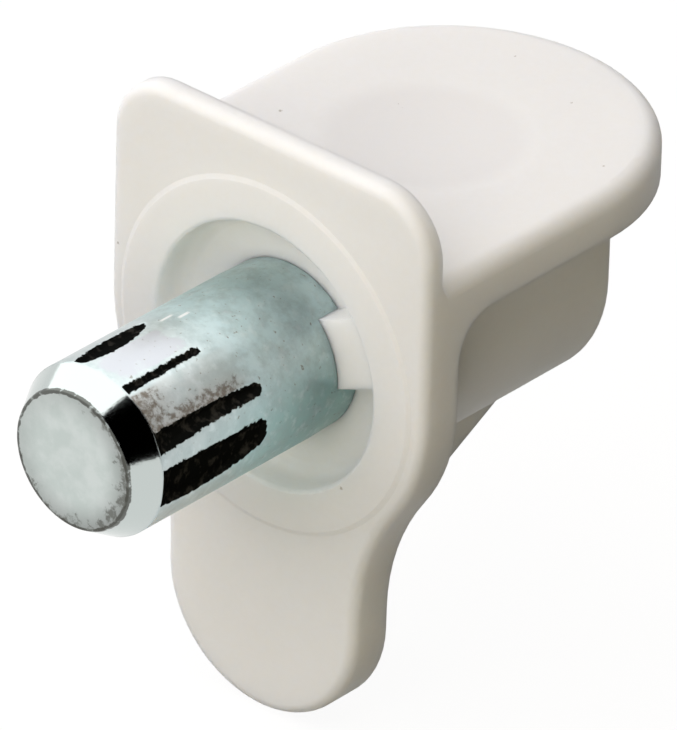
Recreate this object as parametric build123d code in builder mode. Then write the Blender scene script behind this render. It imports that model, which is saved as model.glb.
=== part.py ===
from build123d import *
import math
import os

# Shelf support: a white moulding that carries a shelf, on a steel pin that goes into the cabinet side.
# Frame in millimetres: the pin's axis is Y, and the cabinet side is the plane Y = 0, with the pin at -Y.
# Z is up, and the shelf lies on the ledge on the +Y side.

# Steel pin
pin_diameter = 5.0
pin_reach = 7.5
pin_chamfer_length = 0.84
pin_chamfer_width = 0.5
pin_seat_taper = 0.04
pin_seat_depth = 8.0
pin_seat_chamfer = 0.4

# Flutes pressed into the free end of the pin
flute_count = 8
flute_width = 0.62
flute_depth = 0.14
flute_length_at_sides = 3.9
flute_length_above_and_below = 2.8

# Upright plate, thin above the ledge where the shelf's edge stands against it
plate_width = 11.3
plate_top = 6.7
plate_corner_radius = 1.85
plate_thickness = 1.38
plate_edge_radius = 0.3
fence_thickness = 0.6
fence_corner_radius = 0.3

# Tongue that runs down the cabinet side
tongue_width = 6.8
tongue_drop = 5.47
tongue_straight = 0.6

# Round pad that stands on the cabinet side, and the recess around the pin
pad_margin = 0.56
pad_height = 0.06
pad_slope_width = 0.14
recess_gap = 1.39
recess_depth = 1.02
recess_mouth_radius = 0.1
recess_floor_radius = 0.4
recess_rib_width = 2.0
recess_rib_setback = 0.2
recess_rib_angle = 22.0
recess_rib_count = 2

# Shelf ledge
ledge_top = 4.16
ledge_thickness = 1.37
ledge_reach = 13.2
ledge_rim_radius = 0.5
ledge_dish_diameter = 6.2
ledge_dish_depth = 0.1
ledge_dish_from_wall = 6.4
bracket_radius = 1.35

# Half-round housing under the ledge, and the web behind the tongue
housing_wall = 1.64
housing_end_wall = 1.55
housing_end_edge_radius = 0.2
web_width = 2.2
web_foot_above_tip = 2.8

# Cuts run past the faces that they open by this much
overrun = 1.0

# Sizes that follow from the ones above
pin_radius = pin_diameter / 2
pin_end_radius = pin_radius - pin_chamfer_width
pin_seat_radius = pin_radius - pin_seat_taper
flute_start = pin_reach - pin_chamfer_length
flute_tool_radius = (flute_depth**2 + (flute_width / 2) ** 2) / (2 * flute_depth)
flute_tool_centre = pin_radius - flute_depth + flute_tool_radius
plate_half_width = plate_width / 2
plate_middle = pad_height + plate_edge_radius
plate_back = pad_height + plate_thickness
fence_back = pad_height + fence_thickness
fence_corner_end = fence_back + fence_corner_radius
fence_corner_top = ledge_top + fence_corner_radius
ledge_rim_centre = ledge_top - ledge_rim_radius
ledge_flat_half_width = plate_half_width - ledge_rim_radius
tongue_half_width = tongue_width / 2
tongue_tip = plate_half_width + tongue_drop
tongue_round_centre = tongue_tip - tongue_half_width
tongue_blend_end = tongue_round_centre - tongue_straight
tongue_blend_square = tongue_half_width**2 + tongue_blend_end**2 - plate_half_width**2
tongue_blend_radius = tongue_blend_square / (plate_width - tongue_width)
pad_radius = plate_half_width - pad_margin
recess_radius = pin_radius + recess_gap
ledge_bottom = ledge_top - ledge_thickness
ledge_middle = ledge_top - ledge_thickness / 2
ledge_round_centre = ledge_reach - plate_half_width
bracket_end = plate_back + bracket_radius
bracket_bottom = ledge_bottom - bracket_radius
ledge_dish_radius = ledge_dish_diameter / 2
ledge_dish_floor = ledge_top - ledge_dish_depth
ledge_dish_sphere_radius = (ledge_dish_depth**2 + ledge_dish_radius**2) / (2 * ledge_dish_depth)
housing_radius = pin_seat_radius + housing_wall
housing_end = pin_seat_depth + housing_end_wall
web_end = housing_end - housing_end_edge_radius
web_foot_depth = tongue_tip - web_foot_above_tip

os.makedirs("parts", exist_ok=True)


def wall_plane(depth):
    """The plane that lies this deep behind the cabinet side, with X across and Z up."""
    return Plane.XZ.offset(-depth)


# Half section of the pin, which also shapes its seat in the body
with BuildSketch(Plane.XY) as pin_profile:
    with BuildLine():
        Polyline(
            (0, -pin_reach),
            (pin_end_radius, -pin_reach),
            (pin_radius, -flute_start),
            (pin_radius, 0),
            (pin_seat_radius, recess_depth),
            (pin_seat_radius, pin_seat_depth - pin_seat_chamfer),
            (pin_seat_radius - pin_seat_chamfer, pin_seat_depth),
            (0, pin_seat_depth),
            close=True,
        )
    make_face()

# Outlines of the moulded body
with BuildSketch(wall_plane(pad_height)) as plate_outline:
    Circle(plate_half_width)
    Rectangle(plate_width, plate_top, align=(Align.CENTER, Align.MIN))
    fillet(plate_outline.vertices().group_by(Axis.Y)[-1], radius=plate_corner_radius)
    with Locations((0, -tongue_round_centre)):
        Circle(tongue_half_width)
    Rectangle(tongue_width, tongue_round_centre, align=(Align.CENTER, Align.MAX))
    fillet(plate_outline.vertices().group_by(Axis.Y)[1], radius=tongue_blend_radius)

with BuildSketch(wall_plane(plate_middle)) as lower_outline:
    add(plate_outline.sketch_local)
    with Locations((0, ledge_middle)):
        Rectangle(
            plate_width,
            ledge_middle + tongue_tip,
            align=(Align.CENTER, Align.MAX),
            mode=Mode.INTERSECT,
        )

with BuildSketch(Plane.XY.offset(ledge_bottom)) as ledge_plan:
    with Locations((0, ledge_round_centre)):
        Circle(plate_half_width)
    with Locations((0, plate_middle)):
        Rectangle(plate_width, ledge_round_centre - plate_middle, align=(Align.CENTER, Align.MIN))

# Ledge with a soft rim
with BuildPart() as ledge:
    extrude(ledge_plan.sketch, amount=ledge_thickness)
    top_edges = ledge.faces().sort_by(Axis.Z)[-1].edges()
    fillet(top_edges.sort_by(Axis.Y)[1:], radius=ledge_rim_radius)

# Rounded inner corner where the shelf meets the fence, which follows the ledge's rim down at both ends
with BuildSketch(Plane.YZ) as fence_corner_profile:
    with BuildLine():
        Polyline(
            (fence_corner_end, ledge_top),
            (fence_corner_end, ledge_rim_centre),
            (plate_middle, ledge_rim_centre),
            (plate_middle, fence_corner_top),
            (fence_back, fence_corner_top),
        )
        RadiusArc((fence_back, fence_corner_top), (fence_corner_end, ledge_top), -fence_corner_radius)
    make_face()

with BuildPart() as fence_corner:
    extrude(fence_corner_profile.sketch, amount=ledge_flat_half_width, both=True)
    corner_end_axis = Axis((ledge_flat_half_width, 0, ledge_rim_centre), (0, 1, 0))
    revolve(Pos(ledge_flat_half_width, 0, 0) * fence_corner_profile.sketch, axis=corner_end_axis)
    mirror(about=Plane.YZ)
    extrude(plate_outline.sketch, amount=-fence_corner_end, mode=Mode.INTERSECT)

# Rounded inner corner between the plate and the underside of the ledge
with BuildPart() as bracket:
    with BuildSketch(Plane.YZ):
        with BuildLine():
            Polyline(
                (bracket_end, ledge_bottom),
                (bracket_end, ledge_middle),
                (plate_middle, ledge_middle),
                (plate_middle, bracket_bottom),
                (plate_back, bracket_bottom),
            )
            RadiusArc((plate_back, bracket_bottom), (bracket_end, ledge_bottom), bracket_radius)
        make_face()
    extrude(amount=plate_half_width, both=True)

# Half-round housing for the pin, with a soft far end
with BuildPart() as housing:
    with BuildSketch(wall_plane(housing_end)):
        Circle(housing_radius)
        Rectangle(2 * housing_radius, ledge_middle, align=(Align.CENTER, Align.MIN))
    extrude(amount=housing_end - fence_back)
    far_edges = housing.faces().sort_by(Axis.Y)[-1].edges()
    fillet(far_edges.sort_by(Axis.Z)[:-1], radius=housing_end_edge_radius)

# Moulded body
with BuildPart() as support_body:
    # Plate with soft edges, as thick as the fence
    extrude(plate_outline.sketch, amount=-fence_thickness)
    fillet(support_body.faces().sort_by(Axis.Y)[0].edges(), radius=plate_edge_radius)

    # What stands behind it: the thicker plate with the tongue, and the ledge with its housing
    extrude(lower_outline.sketch, amount=plate_middle - plate_back)
    add(ledge.part)
    add(fence_corner.part)
    add(bracket.part)
    add(housing.part)

    # Web behind the tongue
    with BuildSketch(Plane.YZ):
        with BuildLine():
            Polyline(
                (fence_back, 0),
                (web_end, 0),
                (web_end, -housing_radius),
                (plate_back, -web_foot_depth),
                (fence_back, -web_foot_depth),
                close=True,
            )
        make_face()
    extrude(amount=web_width / 2, both=True)

    # Raised pad with a sloped edge
    with Locations(wall_plane(pad_height)):
        Cone(
            pad_radius + pad_slope_width,
            pad_radius,
            pad_height,
            align=(Align.CENTER, Align.CENTER, Align.MIN),
        )

    # Recess around the pin, with a soft mouth and a rounded floor, and ribs that brace the pin
    with BuildSketch(wall_plane(recess_depth)):
        Circle(recess_radius)
    extrude(amount=recess_depth + overrun, mode=Mode.SUBTRACT)
    recess_edges = support_body.edges(Select.LAST).sort_by(Axis.Y)
    fillet(recess_edges[0], radius=recess_mouth_radius)
    fillet(recess_edges[-1], radius=recess_floor_radius)
    with BuildSketch(wall_plane(recess_depth)):
        with PolarLocations(0, recess_rib_count, start_angle=recess_rib_angle):
            Rectangle(recess_radius, recess_rib_width, align=(Align.MIN, Align.CENTER))
    extrude(amount=recess_depth - recess_rib_setback)

    # Seat that the pin is pressed into
    revolve(pin_profile.sketch, axis=Axis.Y, mode=Mode.SUBTRACT)

    # Shallow dish that the moulding sinks to over the housing
    with BuildSketch(wall_plane(ledge_dish_from_wall)):
        with BuildLine():
            RadiusArc((0, ledge_dish_floor), (ledge_dish_radius, ledge_top), -ledge_dish_sphere_radius)
            Polyline(
                (ledge_dish_radius, ledge_top),
                (ledge_dish_radius, ledge_top + overrun),
                (0, ledge_top + overrun),
                (0, ledge_dish_floor),
            )
        make_face()
    revolve(axis=Axis((0, ledge_dish_from_wall, 0), (0, 0, 1)), mode=Mode.SUBTRACT)

support_body.part.label = "support_body"
export_step(support_body.part, "parts/support_body.step")

# Steel pin
flute_angles = [flute_index * 360 / flute_count + 180 / flute_count for flute_index in range(flute_count)]
with BuildPart() as steel_pin:
    revolve(pin_profile.sketch, axis=Axis.Y)
    for flute_angle in flute_angles:
        across = math.cos(math.radians(flute_angle))
        upward = math.sin(math.radians(flute_angle))
        flute_length = flute_length_at_sides if abs(across) > abs(upward) else flute_length_above_and_below
        flute_end = flute_width / 2 + flute_start - flute_length
        with BuildSketch(wall_plane(-flute_end)):
            with Locations((flute_tool_centre * across, flute_tool_centre * upward)):
                Circle(flute_tool_radius)
        extrude(amount=pin_reach + overrun - flute_end, mode=Mode.SUBTRACT)
        with Locations((flute_tool_centre * across, -flute_end, flute_tool_centre * upward)):
            Sphere(flute_tool_radius, mode=Mode.SUBTRACT)

steel_pin.part.label = "steel_pin"
export_step(steel_pin.part, "parts/steel_pin.step")
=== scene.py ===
import math

import bpy
from mathutils import Matrix, Vector


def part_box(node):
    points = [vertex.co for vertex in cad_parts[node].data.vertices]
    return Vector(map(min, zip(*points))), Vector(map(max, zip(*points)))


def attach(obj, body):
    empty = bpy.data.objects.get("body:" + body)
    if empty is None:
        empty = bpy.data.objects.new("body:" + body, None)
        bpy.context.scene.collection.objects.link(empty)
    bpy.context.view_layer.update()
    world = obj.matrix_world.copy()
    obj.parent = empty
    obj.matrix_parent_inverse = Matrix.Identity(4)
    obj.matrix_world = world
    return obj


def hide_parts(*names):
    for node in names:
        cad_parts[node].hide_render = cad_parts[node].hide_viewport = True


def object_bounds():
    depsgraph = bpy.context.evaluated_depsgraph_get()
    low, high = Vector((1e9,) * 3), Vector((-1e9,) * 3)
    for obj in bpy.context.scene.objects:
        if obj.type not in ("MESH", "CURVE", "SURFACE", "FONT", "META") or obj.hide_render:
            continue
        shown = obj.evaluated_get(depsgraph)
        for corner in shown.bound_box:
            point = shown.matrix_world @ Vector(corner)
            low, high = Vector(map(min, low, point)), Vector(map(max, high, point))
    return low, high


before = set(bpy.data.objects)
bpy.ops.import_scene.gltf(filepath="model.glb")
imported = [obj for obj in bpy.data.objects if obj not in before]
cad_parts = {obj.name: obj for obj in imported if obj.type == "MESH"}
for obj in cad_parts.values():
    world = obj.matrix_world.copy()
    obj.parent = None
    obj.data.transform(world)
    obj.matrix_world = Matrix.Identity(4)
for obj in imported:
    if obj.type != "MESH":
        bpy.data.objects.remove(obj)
cad_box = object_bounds()

MM = 0.001
FULL_TURN = 360
HALF_TURN = 180
WHITE = (1, 1, 1, 1)

# Image frame of the photograph, in pixels
IMAGE_WIDTH = 677
IMAGE_HEIGHT = 730

# Camera at the photograph's viewing angle: degrees, and lengths in millimetres
VIEW_AZIMUTH = 40.8882
VIEW_ELEVATION = 30.8752
VIEW_ROLL = 1.626
VIEW_RIGHT = 2.019
VIEW_UP = -0.23
VIEW_DISTANCE = 321.0954
FOCAL_PIXELS = 12000
SENSOR_SIZE = 36.0
CLIP_START = 10.0
CLIP_END = 20000.0

# Square lamps, with distance and size in metres: name, direction from the object, power and colour
LAMP_DISTANCE = 0.6
LAMP_SIZE = 0.8
LAMPS = [
    ("over_front", (-0.15, -0.43, 0.89), 3.3, (1.0, 0.965, 0.99)),
    ("overhead", (0.0, 0.15, 0.98), 0.5, (1.0, 0.98, 0.96)),
    ("front_low", (0.2, -0.98, 0.0), 2.4, (0.9, 0.91, 1.0)),
    ("front_right", (0.6, -0.8, 0.05), 2.6, (1.0, 0.895, 0.56)),
    ("left", (-0.95, -0.2, 0.2), 3.6, (0.95, 0.965, 1.0)),
    ("back", (-0.45, 0.88, 0.1), 1.4, (1.0, 0.98, 0.95)),
]
AMBIENT_COLOUR = (1.0, 0.9, 0.72, 1)
AMBIENT_LEVEL = 0.02

# What polished metal sees: white, a softbox and a dark card, each fading out between two angles in degrees
SOFTBOX_DIRECTION = (-0.42, 0.1, 0.9)
SOFTBOX_EDGE = (52.0, 56.0)
SOFTBOX_GAIN = 0.8
CARD_DIRECTION = (0.771, -0.358, 0.5275)
CARD_EDGE = (39.5, 42.0)

# Floor, in metres: a dark colour keeps light from below off the object, and its glow makes it look white
FLOOR_SIZE = 4.0
FLOOR_COLOUR = (0.09, 0.088, 0.084, 1)
FLOOR_ROUGHNESS = 0.9
FLOOR_GLOW = 0.93

# Spans of a noise or of a painted value in which a mark fades in
UNIT_SPAN = (0.0, 1.0)
WIDE_SPAN = (0.3, 0.7)
CLOSE_SPAN = (0.35, 0.65)

# White plastic: noises as cycles per metre, detail and roughness, linear colours, and lengths in millimetres
PLASTIC_CLOUD = (260.0, 3.0, 0.55)
PLASTIC_GRAIN = (5200.0, 3.0, 0.55)
PLASTIC_COLOURS = ((0.866, 0.856, 0.832, 1), (0.879, 0.87, 0.851, 1))
PLASTIC_GRAIN_COLOUR = (0.845, 0.828, 0.79, 1)
PLASTIC_GRAIN_SHARE = 0.25
PLASTIC_ROUGHNESS = (0.42, 0.52)
PLASTIC_SCATTER_RADIUS = (1.0, 0.95, 0.88)
PLASTIC_SCATTER_DEPTH = 0.7
PLASTIC_BUMP_STRENGTH = 0.04
PLASTIC_BUMP_HEIGHT = 0.05

# Painted shade in the sink mark on the ledge over the housing: place and radius in millimetres, shares and a
# linear colour
SINK_MIDDLE = (0.0, 6.4, 4.16)
SINK_RADIUS = 3.1
SINK_FLAT_SHARE = 0.75
SINK_SHADE_COLOUR = (0.8, 0.785, 0.77, 1)
SINK_SHADE_SHARE = 0.5

# Dirt on the moulding: stray specks in cells, and specks with a place and a radius in millimetres
DIRT_CELL_SCALE = 420.0
DIRT_CELL_SPOT = (0.02, 0.05)
DIRT_CHOICE = (900.0, 3.0, 0.55)
DIRT_CHOICE_SPAN = (0.57, 0.64)
DIRT_COLOUR = (0.42, 0.37, 0.31, 1)
DIRT_SHARE = 0.75
SPECK_CORE_SHARE = 0.4
SPECKS = [
    ((-1.15, 11.41, 4.16), 0.05),
    ((-1.76, 7.29, 4.14), 0.06),
    ((-1.55, 7.24, 4.14), 0.05),
    ((1.64, 10.52, 4.16), 0.05),
    ((4.5, 8.53, 4.16), 0.05),
    ((-3.74, 4.71, 4.16), 0.07),
    ((-2.35, 0.06, 4.15), 0.05),
    ((-5.35, 0.1, 1.3), 0.07),
    ((2.9, 0.0, -2.9), 0.07),
]
# Uneven outlines of the specks: cycles per metre, detail, and reach in millimetres
WOBBLE_SCALE = 14000.0
WOBBLE_DETAIL = 2.0
WOBBLE_MIDDLE = (0.5, 0.5, 0.5)
WOBBLE_REACH = 0.14

# Zinc plating: noises as cycles per metre, detail and roughness, linear colours, and how each fades in
PLATING_CLOUD = (420.0, 5.0, 0.55)
PLATING_GRAIN = (3600.0, 4.0, 0.55)
PLATING_SPECK = (6500.0, 2.0, 0.55)
PLATING_MOTTLE = (1900.0, 4.0, 0.65)
PLATING_COLOURS = ((0.5, 0.645, 0.66, 1), (0.61, 0.745, 0.765, 1))
WORN_COLOUR = (0.53, 0.585, 0.585, 1)
# Painted shade on the underside near the moulding, where it reflects the dark recess
UNDERSIDE_SHADE_COLOUR = (0.33, 0.5, 0.49, 1)
MOTTLE_COLOUR = (0.33, 0.42, 0.42, 1)
MOTTLE_SPAN = (0.35, 0.7)
MOTTLE_SHARE = 0.5
GRAIN_COLOUR = (0.69, 0.77, 0.775, 1)
GRAIN_SPAN = (0.5, 0.75)
GRAIN_SHARE = 0.4
# Painted sheen: a neutral grey on the land where the white highlight falls
SHEEN_LAND_COLOUR = (0.5, 0.52, 0.55, 1)
SHEEN_LAND_UNEVEN = (-0.4, 0.4)
SHEEN_LAND_SPAN = (0.25, 0.85)
STAIN_COLOUR = (0.33, 0.3, 0.275, 1)
STAIN_SHARE = 0.6
RUST_NOISE = (5200.0, 5.0, 0.7)
RUST_COLOUR = (0.12, 0.095, 0.07, 1)
RUST_LIFT = (-0.25, 0.1)
RUST_SPAN = (0.45, 0.7)
RUST_SHARE = 0.85
SPECK_COLOUR = (0.2, 0.18, 0.14, 1)
SPECK_SPAN = (0.67, 0.74)
SPECK_SHARE = 0.65
BRIGHT_DASH_COLOUR = (0.85, 0.87, 0.87, 1)
PLATING_ROUGHNESS = 0.45
WORN_ROUGHNESS = 0.3
CHAMFER_ROUGHNESS_SHARE = 0.35
PLATING_BUMP_STRENGTH = 0.2
PLATING_BUMP_HEIGHT = 0.02

# Flutes painted near-black for the dark reflection and shade in the grooves, with a ragged border in
# millimetres
FLUTE_SHADE_COLOURS = ((0.006, 0.0065, 0.006, 1), (0.035, 0.033, 0.029, 1))
FLUTE_GRAIN_SPAN = (0.5, 0.7)
FLUTE_RAGGED_SPAN = (0.2, 0.8)
FLUTE_RAGGED = (-0.045, 0.045)
FLUTE_BORDER = (-0.012, 0.022)

# Free end of the pin: its face, its chamfer and the dark rim line between them
BLOTCH_NOISE = (1500.0, 5.0, 0.6)
END_COLOURS = ((0.55, 0.61, 0.585, 1), (0.63, 0.68, 0.66, 1))
END_EDGE_COLOUR = (0.27, 0.285, 0.275, 1)
END_EDGE_SHARE = 0.9
PIT_NOISE = (3300.0, 5.0, 0.7)
PIT_COLOUR = (0.14, 0.145, 0.13, 1)
PIT_LIFT = (-0.12, 0.15)
PIT_SPAN = (0.56, 0.68)
PIT_SHARE = 0.85
CHAMFER_COLOUR = (0.55, 0.6, 0.585, 1)
RIM_COLOUR = (0.07, 0.07, 0.06, 1)
RIM_UNEVEN = (-0.6, 0.3)
RIM_SPAN = (0.35, 0.8)
RIM_SHARE = 0.85

# Shape of the pin, in millimetres
PIN_TURN_STEPS = 480
PIN_LENGTH_STEP = 0.06
PIN_FACE_STEPS = 34
PIN_SEAT_STEPS = 2
CHAMFER_LENGTH = 0.84
CHAMFER_WIDTH = 0.5
SEAT_START = 1.02
SEAT_TAPER = 0.04
SEAT_CHAMFER = 0.4
FLUTE_DEPTH = 0.12
FLUTE_SLOPE = 0.2
FLUTE_END_ROUND = 0.3
# Each flute: angle from +X towards +Z and half width at the chamfer, midway and at its end, then its end in Y
FLUTES = [
    ((-4.5, 13.5), (-6.0, 14.0), (-1.0, 8.5), -2.6),
    ((25.7, 7.6), (27.2, 6.0), (26.0, 4.8), -2.55),
    ((64.8, 3.3), (65.2, 2.9), (65.4, 3.0), -3.65),
    ((104.5, 3.8), (105.0, 9.0), (108.5, 2.0), -3.8),
    ((157.5, 6.0), (157.5, 6.5), (157.5, 5.0), -2.6),
    ((202.5, 6.0), (202.5, 6.5), (202.5, 5.0), -2.6),
    ((247.5, 5.0), (247.5, 5.0), (247.5, 4.0), -3.7),
    ((292.5, 5.0), (292.5, 5.0), (292.5, 4.0), -3.7),
]

# Marks on the pin: angles in degrees, and millimetres along the pin from where the chamfer ends
LAND_BORDER = 3.0
# Painted sheen on the land between two flutes: its angles, then where it starts and stops along the pin
BRIGHT_LAND = (69.0, 97.0)
BRIGHT_START = (-0.1, 0.6)
BRIGHT_STOP = (2.16, 3.16)
STAINED_LAND = (33.0, 61.0)
STAIN_BORDER = 2.0
STAIN_WIDTH = 20.0
STAIN_LENGTH = 2.2
STAIN_LEAST_SHARE = 0.3
STAIN_STOP = (3.06, 4.06)
WORN_STOP = (2.2, 4.2)
# Painted shade on the underside near the moulding: angles, then millimetres along the pin
UNDERSIDE_SHADE_LOWER = (-150.0, -100.0)
UNDERSIDE_SHADE_UPPER = (-5.0, 40.0)
UNDERSIDE_SHADE_START = (-0.84, 5.46)
NOT_FLUTED = -1.0
# Dark edge of the end face: angle, span as shares of the radius and least share, then the rim's rings
END_DARK_ANGLE = -35.0
END_DARK_SPAN = (0.5, 1.0)
END_DARK_LEAST_SHARE = 0.35
RIM_RINGS = 2
# Short bright dashes: angle, Y, half length and half width
BRIGHT_DASH_BORDER = (0.6, 1.2)
BRIGHT_DASHES = [(100.6, -3.41, 0.24, 0.05), (94.5, -3.0, 0.22, 0.06)]


def blended(low, high, value):
    """0 below low, 1 above high, and a smooth step between them."""
    share = min(max((value - low) / (high - low), 0), 1)
    return share * share * (3 - 2 * share)


# Shader helpers


class Shader:
    """A node tree with short calls to add nodes and to link or set their sockets."""

    def __init__(self, tree):
        self.nodes = tree.nodes
        self.links = tree.links

    def put(self, socket, value):
        if isinstance(value, bpy.types.NodeSocket):
            self.links.new(value, socket)
        else:
            socket.default_value = value

    def add(self, kind, inputs=None, **settings):
        node = self.nodes.new(kind)
        for name, value in settings.items():
            setattr(node, name, value)
        for name, value in (inputs or {}).items():
            self.put(node.inputs[name], value)
        return node

    def math(self, operation, first, second):
        node = self.add("ShaderNodeMath", {0: first, 1: second}, operation=operation)
        return node.outputs[0]

    def vector_math(self, operation, first, second, output="Vector"):
        node = self.add("ShaderNodeVectorMath", {0: first, 1: second}, operation=operation)
        return node.outputs[output]

    def noise(self, vector, scale, detail, roughness):
        node = self.add(
            "ShaderNodeTexNoise",
            {"Vector": vector, "Scale": scale, "Detail": detail, "Roughness": roughness},
        )
        return node.outputs["Fac"]

    def remap(self, value, span, to=UNIT_SPAN):
        """A value taken smoothly from one span to another."""
        node = self.add(
            "ShaderNodeMapRange",
            {"Value": value, "From Min": span[0], "From Max": span[1], "To Min": to[0], "To Max": to[1]},
            interpolation_type="SMOOTHSTEP",
        )
        return node.outputs["Result"]

    def mix(self, share, first, second):
        node = self.add("ShaderNodeMix", data_type="RGBA")
        self.put(node.inputs[0], share)
        self.put(node.inputs[6], first)
        self.put(node.inputs[7], second)
        return node.outputs[2]

    def layer(self, base, colour, value, span, share=1.0):
        """The base with a colour over it, which fades in up to a share as a value goes through a span."""
        return self.mix(self.remap(value, span, (0.0, share)), base, colour)

    def distance(self, place, middle):
        """Distance in metres from a place to a point given in millimetres."""
        return self.vector_math("DISTANCE", place, Vector(middle) * MM, "Value")

    def wobbled(self, place):
        """A place shifted a little, which makes outlines uneven."""
        uneven = self.add(
            "ShaderNodeTexNoise",
            {"Vector": place, "Scale": WOBBLE_SCALE, "Detail": WOBBLE_DETAIL},
        )
        centred = self.vector_math("SUBTRACT", uneven.outputs["Color"], WOBBLE_MIDDLE)
        shift = self.add("ShaderNodeVectorMath", {0: centred, "Scale": WOBBLE_REACH * MM}, operation="SCALE")
        return self.vector_math("ADD", place, shift.outputs["Vector"])

    def attribute(self, name):
        return self.add("ShaderNodeAttribute", attribute_name=name).outputs["Fac"]

    def bump(self, strength, height, value):
        """A normal from a value as height, with the full height in millimetres."""
        node = self.add("ShaderNodeBump", {"Strength": strength, "Distance": height * MM, "Height": value})
        return node.outputs["Normal"]

    def cap(self, direction, middle, edge):
        """1 for directions near the middle one, 0 beyond the edge, which is two angles in degrees."""
        facing = self.vector_math("DOT_PRODUCT", direction, Vector(middle).normalized(), "Value")
        inner, outer = edge
        return self.remap(facing, (math.cos(math.radians(outer)), math.cos(math.radians(inner))))

    def background_ray(self, path):
        """1 for the rays that show a white background: seen straight, in metal or through glass."""
        seen = self.math("MAXIMUM", path["Is Camera Ray"], path["Is Glossy Ray"])
        return self.math("MAXIMUM", seen, path["Is Transmission Ray"])


def new_material(name):
    material = bpy.data.materials.new(name)
    material.use_nodes = True
    return material, Shader(material.node_tree), material.node_tree.nodes["Principled BSDF"]


# White moulded plastic


def dirt_mask(shader, place):
    """1 on the dirt specks of the moulding: stray ones all over, and those that have a place."""
    cells = shader.add("ShaderNodeTexVoronoi", {"Vector": place, "Scale": DIRT_CELL_SCALE})
    spot = shader.remap(cells.outputs["Distance"], DIRT_CELL_SPOT, (1.0, 0.0))
    chosen = shader.remap(shader.noise(cells.outputs["Position"], *DIRT_CHOICE), DIRT_CHOICE_SPAN)
    dirt = shader.math("MULTIPLY", spot, chosen)
    ragged = shader.wobbled(place)
    for middle, radius in SPECKS:
        span = (radius * MM, SPECK_CORE_SHARE * radius * MM)
        near = shader.remap(shader.distance(ragged, middle), span)
        dirt = shader.math("MAXIMUM", dirt, near)
    return dirt


def plastic_material():
    material, shader, surface = new_material("white_plastic_look")
    place = shader.add("ShaderNodeTexCoord").outputs["Object"]
    cloud = shader.noise(place, *PLASTIC_CLOUD)
    grain = shader.noise(place, *PLASTIC_GRAIN)
    base = shader.mix(shader.remap(cloud, CLOSE_SPAN), *PLASTIC_COLOURS)
    base = shader.layer(base, PLASTIC_GRAIN_COLOUR, grain, WIDE_SPAN, PLASTIC_GRAIN_SHARE)
    # Painted shade: the shallow dish of the sink mark is darkened
    sink_shade_span = (SINK_RADIUS * MM, SINK_FLAT_SHARE * SINK_RADIUS * MM)
    base = shader.layer(base, SINK_SHADE_COLOUR, shader.distance(place, SINK_MIDDLE), sink_shade_span, SINK_SHADE_SHARE)
    dirt = shader.math("MULTIPLY", dirt_mask(shader, place), DIRT_SHARE)
    base = shader.mix(dirt, base, DIRT_COLOUR)
    shader.put(surface.inputs["Base Color"], base)
    shader.put(surface.inputs["Roughness"], shader.remap(cloud, WIDE_SPAN, PLASTIC_ROUGHNESS))
    shader.put(surface.inputs["Subsurface Weight"], 1.0)
    shader.put(surface.inputs["Subsurface Radius"], PLASTIC_SCATTER_RADIUS)
    shader.put(surface.inputs["Subsurface Scale"], PLASTIC_SCATTER_DEPTH * MM)
    normal = shader.bump(PLASTIC_BUMP_STRENGTH, PLASTIC_BUMP_HEIGHT, grain)
    shader.put(surface.inputs["Normal"], normal)
    return material


# Zinc-plated steel, with dark reflection and shade painted into the flutes


def plating_colour(shader, place, grain, speck):
    """Mottled plating with its worn and stained lands, specks, short bright dashes, painted shade on the
    underside and painted sheen on one land.
    """
    mottle = shader.noise(place, *PLATING_MOTTLE)
    stained = shader.attribute("stained")
    base = shader.mix(shader.remap(shader.noise(place, *PLATING_CLOUD), WIDE_SPAN), *PLATING_COLOURS)
    base = shader.mix(shader.attribute("worn"), base, WORN_COLOUR)
    # Painted shade: the underside near the moulding is darkened for the dark recess it reflects
    base = shader.mix(shader.attribute("underside_shade"), base, UNDERSIDE_SHADE_COLOUR)
    base = shader.layer(base, MOTTLE_COLOUR, mottle, MOTTLE_SPAN, MOTTLE_SHARE)
    base = shader.layer(base, GRAIN_COLOUR, grain, GRAIN_SPAN, GRAIN_SHARE)
    # Painted sheen on one land, made uneven by the mottle
    sheen = shader.math("ADD", shader.attribute("painted_sheen"), shader.remap(mottle, WIDE_SPAN, SHEEN_LAND_UNEVEN))
    base = shader.layer(base, SHEEN_LAND_COLOUR, sheen, SHEEN_LAND_SPAN)
    base = shader.mix(shader.math("MULTIPLY", stained, STAIN_SHARE), base, STAIN_COLOUR)
    rust = shader.math("ADD", shader.remap(stained, UNIT_SPAN, RUST_LIFT), shader.noise(place, *RUST_NOISE))
    base = shader.layer(base, RUST_COLOUR, rust, RUST_SPAN, RUST_SHARE)
    base = shader.layer(base, SPECK_COLOUR, speck, SPECK_SPAN, SPECK_SHARE)
    return shader.mix(shader.attribute("bright_dash"), base, BRIGHT_DASH_COLOUR)


def end_colour(shader, place):
    """Blotched end face that darkens and has more pits towards its edge."""
    edge = shader.attribute("edge")
    end = shader.mix(shader.remap(shader.noise(place, *BLOTCH_NOISE), CLOSE_SPAN), *END_COLOURS)
    end = shader.mix(shader.math("MULTIPLY", edge, END_EDGE_SHARE), end, END_EDGE_COLOUR)
    pitted = shader.math("ADD", shader.noise(place, *PIT_NOISE), shader.remap(edge, UNIT_SPAN, PIT_LIFT))
    return shader.layer(end, PIT_COLOUR, pitted, PIT_SPAN, PIT_SHARE)


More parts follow.
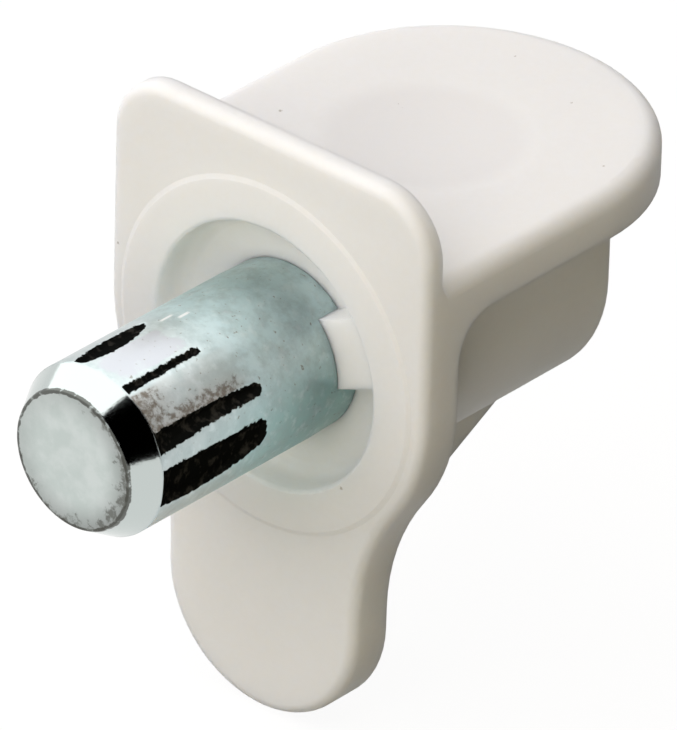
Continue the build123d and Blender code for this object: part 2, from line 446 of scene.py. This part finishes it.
def steel_material():
    material, shader, surface = new_material("zinc_plated_steel_look")
    place = shader.add("ShaderNodeTexCoord").outputs["Object"]
    grain = shader.noise(place, *PLATING_GRAIN)
    speck = shader.noise(place, *PLATING_SPECK)
    cone = shader.attribute("cone")
    uneven = shader.remap(speck, FLUTE_RAGGED_SPAN, FLUTE_RAGGED)
    dark = shader.remap(shader.math("ADD", shader.attribute("flute"), uneven), FLUTE_BORDER)
    base = plating_colour(shader, place, grain, speck)
    # Painted reflection and shade: the flutes are near-black and not metal
    base = shader.mix(dark, base, shader.mix(shader.remap(grain, FLUTE_GRAIN_SPAN), *FLUTE_SHADE_COLOURS))
    base = shader.mix(shader.attribute("face"), base, end_colour(shader, place))
    base = shader.mix(cone, base, CHAMFER_COLOUR)
    rim_line = shader.math("ADD", shader.attribute("rim"), shader.remap(grain, WIDE_SPAN, RIM_UNEVEN))
    base = shader.layer(base, RIM_COLOUR, rim_line, RIM_SPAN, RIM_SHARE)
    rough = shader.remap(shader.attribute("worn"), UNIT_SPAN, (PLATING_ROUGHNESS, WORN_ROUGHNESS))
    smoother = shader.remap(cone, UNIT_SPAN, (1.0, CHAMFER_ROUGHNESS_SHARE))
    shader.put(surface.inputs["Base Color"], base)
    shader.put(surface.inputs["Metallic"], shader.math("SUBTRACT", 1.0, dark))
    shader.put(surface.inputs["Specular IOR Level"], 0.0)
    shader.put(surface.inputs["Roughness"], shader.math("MULTIPLY", rough, smoother))
    normal = shader.bump(PLATING_BUMP_STRENGTH, PLATING_BUMP_HEIGHT, grain)
    shader.put(surface.inputs["Normal"], normal)
    return material


# Steel pin as a turned mesh with pressed flutes


def through_three(first, middle, last, share):
    """Value at a share of the way along a curve through three evenly spaced values."""
    return (
        first * (1 - share) * (1 - 2 * share)
        + middle * 4 * share * (1 - share)
        + last * share * (2 * share - 1)
    )


def turned_from(middle, angle):
    """Angle from a middle one, between minus and plus half a turn."""
    return (angle - middle + HALF_TURN) % FULL_TURN - HALF_TURN


def inside_flute(angle, y, chamfer_end, radius, flute):
    """Millimetres from a flute's border to a point, above 0 inside the flute."""
    front, middle, back, end = flute
    share = min(max((y - chamfer_end) / (end - chamfer_end), 0), 1)
    centre = through_three(front[0], middle[0], back[0], share)
    half = through_three(front[1], middle[1], back[1], share)
    from_side = math.radians(half - abs(turned_from(centre, angle))) * radius
    from_end = end - y
    if from_side > FLUTE_END_ROUND or from_end > FLUTE_END_ROUND:
        return min(from_side, from_end)
    return FLUTE_END_ROUND - math.hypot(FLUTE_END_ROUND - from_side, FLUTE_END_ROUND - from_end)


def pin_rings(radius, free_end, chamfer_end, seat_end):
    """Profile of the pin from its free end to its seat, as (y, radius) in millimetres."""
    end_radius = radius - CHAMFER_WIDTH
    seat_radius = radius - SEAT_TAPER
    rings = [(free_end, end_radius * step / PIN_FACE_STEPS) for step in range(1, PIN_FACE_STEPS + 1)]
    corners = [
        (chamfer_end, radius),
        (0, radius),
        (SEAT_START, seat_radius),
        (seat_end - SEAT_CHAMFER, seat_radius),
        (seat_end, seat_radius - SEAT_CHAMFER),
    ]
    for corner_y, corner_radius in corners:
        last_y, last_radius = rings[-1]
        steps = max(1, round((corner_y - last_y) / PIN_LENGTH_STEP))
        if corner_y > SEAT_START:
            steps = PIN_SEAT_STEPS
        for step in range(1, steps + 1):
            share = step / steps
            ring_y = last_y + share * (corner_y - last_y)
            rings.append((ring_y, last_radius + share * (corner_radius - last_radius)))
    return rings


def painted_sheen_share(angle, along):
    """How much painted sheen the land between two flutes has at a point."""
    low, high = BRIGHT_LAND
    across = blended(low, low + LAND_BORDER, angle) * (1 - blended(high - LAND_BORDER, high, angle))
    return across * blended(*BRIGHT_START, along) * (1 - blended(*BRIGHT_STOP, along))


def stained_share(angle, along):
    """How brown the next land is at a point: most beside its lower flute and at the chamfer."""
    low, high = STAINED_LAND
    by_flute = 1 - blended(low, low + STAIN_WIDTH, angle)
    by_chamfer = 1 - blended(0, STAIN_LENGTH, along)
    across = blended(low - STAIN_BORDER, low, angle) * (1 - blended(high - LAND_BORDER, high, angle))
    return max(by_flute, by_chamfer, STAIN_LEAST_SHARE) * across * (1 - blended(*STAIN_STOP, along))


def bright_dash_share(angle, y, radius):
    """How much of a short bright dash is at a point."""
    share = 0.0
    for middle, dash_y, half_length, half_width in BRIGHT_DASHES:
        lengthwise = abs(y - dash_y) / half_length
        across = abs(math.radians(angle - middle)) * radius / half_width
        share = max(share, 1 - blended(*BRIGHT_DASH_BORDER, max(lengthwise, across)))
    return share


def underside_shade_share(angle, along):
    """How much painted shade the plating gets at a point: most on the underside, near the moulding, for the
    dark recess it reflects.
    """
    turned = turned_from(0, angle)
    across = blended(*UNDERSIDE_SHADE_LOWER, turned) * (1 - blended(*UNDERSIDE_SHADE_UPPER, turned))
    return across * blended(*UNDERSIDE_SHADE_START, along)


def end_edge_share(angle, ring):
    """How dark and pitted the end face is at a point: most at the edge of one side."""
    to_side = (1 + math.cos(math.radians(angle - END_DARK_ANGLE))) / 2
    round_edge = END_DARK_LEAST_SHARE + (1 - END_DARK_LEAST_SHARE) * to_side
    return blended(*END_DARK_SPAN, ring / PIN_FACE_STEPS) * round_edge


def pin_paint(angle, y, ring, radius, chamfer_end, inside):
    """What the pin's material reads at a point."""
    along = y - chamfer_end
    on_face = ring < PIN_FACE_STEPS
    on_side = along > -PIN_LENGTH_STEP / 2
    return {
        "flute": inside if on_side else NOT_FLUTED,
        "worn": 1 - blended(*WORN_STOP, along),
        "underside_shade": underside_shade_share(angle, along),
        "painted_sheen": painted_sheen_share(angle, along) if on_side else 0.0,
        "stained": stained_share(angle, along) if on_side else 0.0,
        "bright_dash": bright_dash_share(angle, y, radius) if on_side else 0.0,
        "face": 1.0 if on_face else 0.0,
        "edge": end_edge_share(angle, ring) if on_face else 0.0,
        "cone": 0.0 if on_side or on_face else 1.0,
        "rim": 1.0 if abs(ring - PIN_FACE_STEPS + 1) < RIM_RINGS else 0.0,
    }


def pin_surface(rings, radius, chamfer_end):
    """The points of all rings, in millimetres, and the paint of each, with the flutes pressed in."""
    points = []
    paints = []
    for ring, (y, ring_radius) in enumerate(rings):
        fade_in = blended(0, FLUTE_END_ROUND, y - chamfer_end)
        for turn in range(PIN_TURN_STEPS):
            angle = turn * FULL_TURN / PIN_TURN_STEPS
            inside = max(inside_flute(angle, y, chamfer_end, radius, flute) for flute in FLUTES)
            reach = ring_radius - FLUTE_DEPTH * blended(0, FLUTE_SLOPE, inside) * fade_in
            points.append((reach * math.cos(math.radians(angle)), y, reach * math.sin(math.radians(angle))))
            paints.append(pin_paint(angle, y, ring, radius, chamfer_end, inside))
    return points, paints


def turned_faces(ring_count):
    """Faces of a turned mesh: a middle point, the rings in order, and a middle point at the other end."""
    following = [(turn + 1) % PIN_TURN_STEPS for turn in range(PIN_TURN_STEPS)]
    faces = [(0, 1 + turn, 1 + after) for turn, after in enumerate(following)]
    for ring in range(ring_count - 1):
        start = 1 + ring * PIN_TURN_STEPS
        beyond = start + PIN_TURN_STEPS
        for turn, after in enumerate(following):
            faces.append((start + turn, beyond + turn, beyond + after, start + after))
    last = 1 + (ring_count - 1) * PIN_TURN_STEPS
    far_middle = last + PIN_TURN_STEPS
    faces += [(last + turn, far_middle, last + after) for turn, after in enumerate(following)]
    return faces


def build_pin():
    low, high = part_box("steel_pin")
    radius = high.x / MM
    free_end = low.y / MM
    seat_end = high.y / MM
    chamfer_end = free_end + CHAMFER_LENGTH
    rings = pin_rings(radius, free_end, chamfer_end, seat_end)
    points, paints = pin_surface(rings, radius, chamfer_end)
    points = [(0, free_end, 0), *points, (0, seat_end, 0)]
    paints = [paints[0], *paints, paints[-1]]
    mesh = bpy.data.meshes.new("plated_pin")
    mesh.from_pydata([Vector(point) * MM for point in points], [], turned_faces(len(rings)))
    mesh.shade_smooth()
    for name in paints[0]:
        attribute = mesh.attributes.new(name, "FLOAT", "POINT")
        attribute.data.foreach_set("value", [paint[name] for paint in paints])
    mesh.materials.append(steel_material())
    pin = bpy.data.objects.new("plated_pin", mesh)
    bpy.context.scene.collection.objects.link(pin)
    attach(pin, "root")
    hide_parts("steel_pin")


# Stage: floor, lights and world


def floor_material():
    material, shader, surface = new_material("pale_floor")
    path = shader.add("ShaderNodeLightPath").outputs
    glow = shader.math("MULTIPLY", shader.background_ray(path), FLOOR_GLOW)
    shader.put(surface.inputs["Base Color"], FLOOR_COLOUR)
    shader.put(surface.inputs["Roughness"], FLOOR_ROUGHNESS)
    shader.put(surface.inputs["Specular IOR Level"], 0.0)
    shader.put(surface.inputs["Emission Color"], WHITE)
    shader.put(surface.inputs["Emission Strength"], glow)
    return material


def build_floor(level):
    reach = FLOOR_SIZE / 2
    mesh = bpy.data.meshes.new("floor")
    corners = [(-reach, -reach, level), (reach, -reach, level), (reach, reach, level), (-reach, reach, level)]
    mesh.from_pydata(corners, [], [(0, 1, 2, 3)])
    mesh.materials.append(floor_material())
    floor = bpy.data.objects.new("floor", mesh)
    bpy.context.scene.collection.objects.link(floor)


def add_lamp(name, direction, power, colour):
    """A soft square lamp that stands off in a direction and faces the object."""
    data = bpy.data.lights.new(name, "AREA")
    data.shape = "SQUARE"
    data.size = LAMP_SIZE
    data.energy = power
    data.color = colour
    lamp = bpy.data.objects.new(name, data)
    away = Vector(direction).normalized()
    lamp.location = away * LAMP_DISTANCE
    lamp.rotation_euler = away.to_track_quat("Z", "Y").to_euler()
    lamp.visible_camera = False
    lamp.visible_glossy = False
    bpy.context.scene.collection.objects.link(lamp)


def build_world():
    """White where it is seen, with the softbox and the card in metal alone, and a faint ambient light."""
    world = bpy.data.worlds.new("studio")
    bpy.context.scene.world = world
    world.use_nodes = True
    shader = Shader(world.node_tree)
    background = world.node_tree.nodes["Background"]
    path = shader.add("ShaderNodeLightPath").outputs
    seen = shader.background_ray(path)
    direction = shader.add("ShaderNodeTexCoord").outputs["Generated"]
    softbox = shader.cap(direction, SOFTBOX_DIRECTION, SOFTBOX_EDGE)
    beside_card = shader.math("SUBTRACT", 1.0, shader.cap(direction, CARD_DIRECTION, CARD_EDGE))
    lit = shader.math("ADD", shader.math("MULTIPLY", softbox, SOFTBOX_GAIN), 1.0)
    change = shader.math("SUBTRACT", shader.math("MULTIPLY", lit, beside_card), 1.0)
    white = shader.math("ADD", 1.0, shader.math("MULTIPLY", change, path["Is Glossy Ray"]))
    ambient = shader.math("MULTIPLY", shader.math("SUBTRACT", 1.0, seen), AMBIENT_LEVEL)
    strength = shader.math("ADD", ambient, shader.math("MULTIPLY", seen, white))
    shader.put(background.inputs["Color"], shader.mix(seen, AMBIENT_COLOUR, WHITE))
    shader.put(background.inputs["Strength"], strength)


# Camera


def build_camera():
    azimuth = math.radians(VIEW_AZIMUTH)
    elevation = math.radians(VIEW_ELEVATION)
    roll = math.radians(VIEW_ROLL)
    right = Vector((math.cos(azimuth), math.sin(azimuth), 0))
    back = Vector(
        (
            math.sin(azimuth) * math.cos(elevation),
            -math.cos(azimuth) * math.cos(elevation),
            math.sin(elevation),
        )
    )
    up = back.cross(right)
    rolled_right = math.cos(roll) * right + math.sin(roll) * up
    rolled_up = math.cos(roll) * up - math.sin(roll) * right
    place = (VIEW_RIGHT * rolled_right + VIEW_UP * rolled_up + VIEW_DISTANCE * back) * MM
    data = bpy.data.cameras.new("camera")
    data.sensor_width = SENSOR_SIZE
    data.sensor_fit = "AUTO"
    data.lens = FOCAL_PIXELS * SENSOR_SIZE / max(IMAGE_WIDTH, IMAGE_HEIGHT)
    data.clip_start = CLIP_START * MM
    data.clip_end = CLIP_END * MM
    camera = bpy.data.objects.new("camera", data)
    axes = Matrix((rolled_right, rolled_up, back)).transposed()
    camera.matrix_world = Matrix.Translation(place) @ axes.to_4x4()
    bpy.context.scene.collection.objects.link(camera)
    bpy.context.scene.camera = camera


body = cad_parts["support_body"]
body.data.materials.clear()
body.data.materials.append(plastic_material())
build_pin()
build_floor(cad_box[0][2])
for lamp_row in LAMPS:
    add_lamp(*lamp_row)
build_world()
build_camera()

bpy.context.scene.view_settings.view_transform = "Standard"
